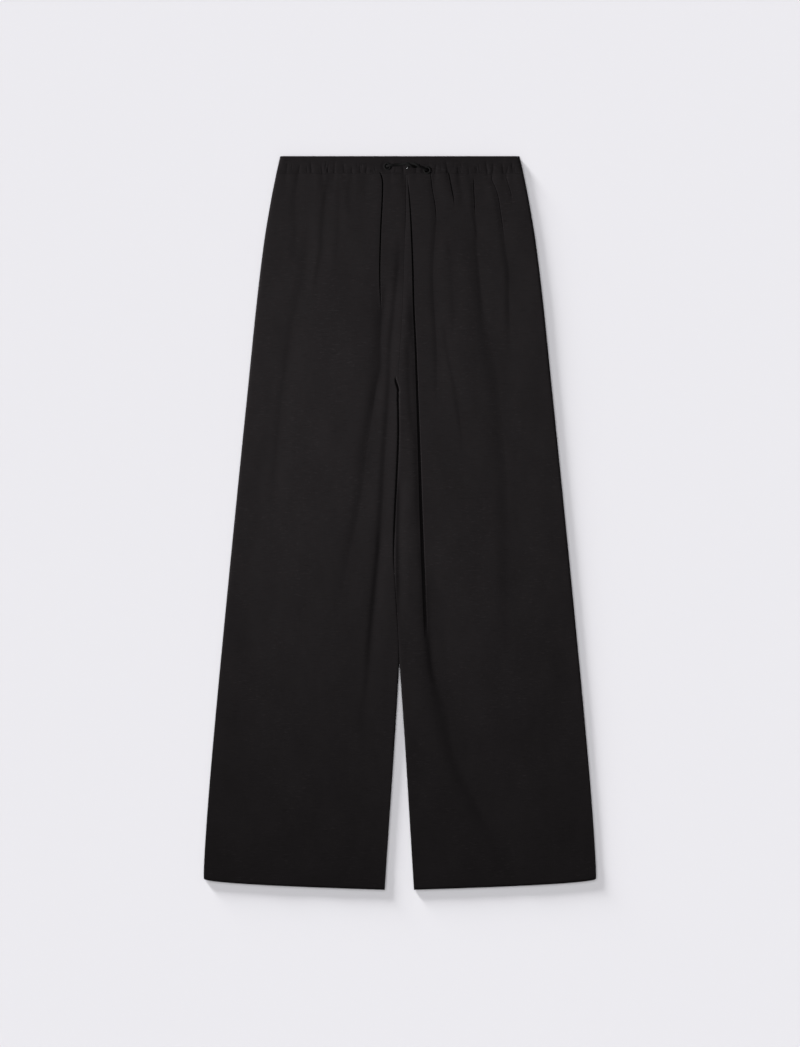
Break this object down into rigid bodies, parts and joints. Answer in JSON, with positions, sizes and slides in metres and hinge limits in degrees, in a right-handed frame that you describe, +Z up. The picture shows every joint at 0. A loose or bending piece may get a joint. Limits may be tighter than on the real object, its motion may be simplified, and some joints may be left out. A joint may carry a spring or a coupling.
{
  "type": "drawstring trousers",
  "caption": "Wide-leg drawstring trousers laid flat, front up, with a gathered elastic waistband, soft creases from the gathers and a short knotted cord.",
  "frame": {"origin": "on the table under the middle of the garment's outline", "axes": "+Y from the hems to the waist, +X towards the wearer's left, +Z up, out of the front"},
  "size_m": [0.5612, 1.05, 0.0155],
  "materials": {
    "cloth": "black woven cloth with a slubbed linen look, matt",
    "waistband_cloth": "the same cloth, gathered over elastic",
    "cord": "black braided cord",
    "thread": "black buttonhole thread",
    "tip_metal": "small polished metal tip"
  },
  "bodies": {
    "root": {"front_right": "cloth", "front_left": "cloth", "back_right": "cloth", "back_left": "cloth", "waistband_front": "waistband_cloth", "waistband_back": "waistband_cloth", "eyelet_right": "thread", "eyelet_left": "thread", "drawstring_right": "cord", "drawstring_left": "cord", "drawstring_knot": "cord", "drawstring_tip": "tip_metal"}
  },
  "joints": []
}
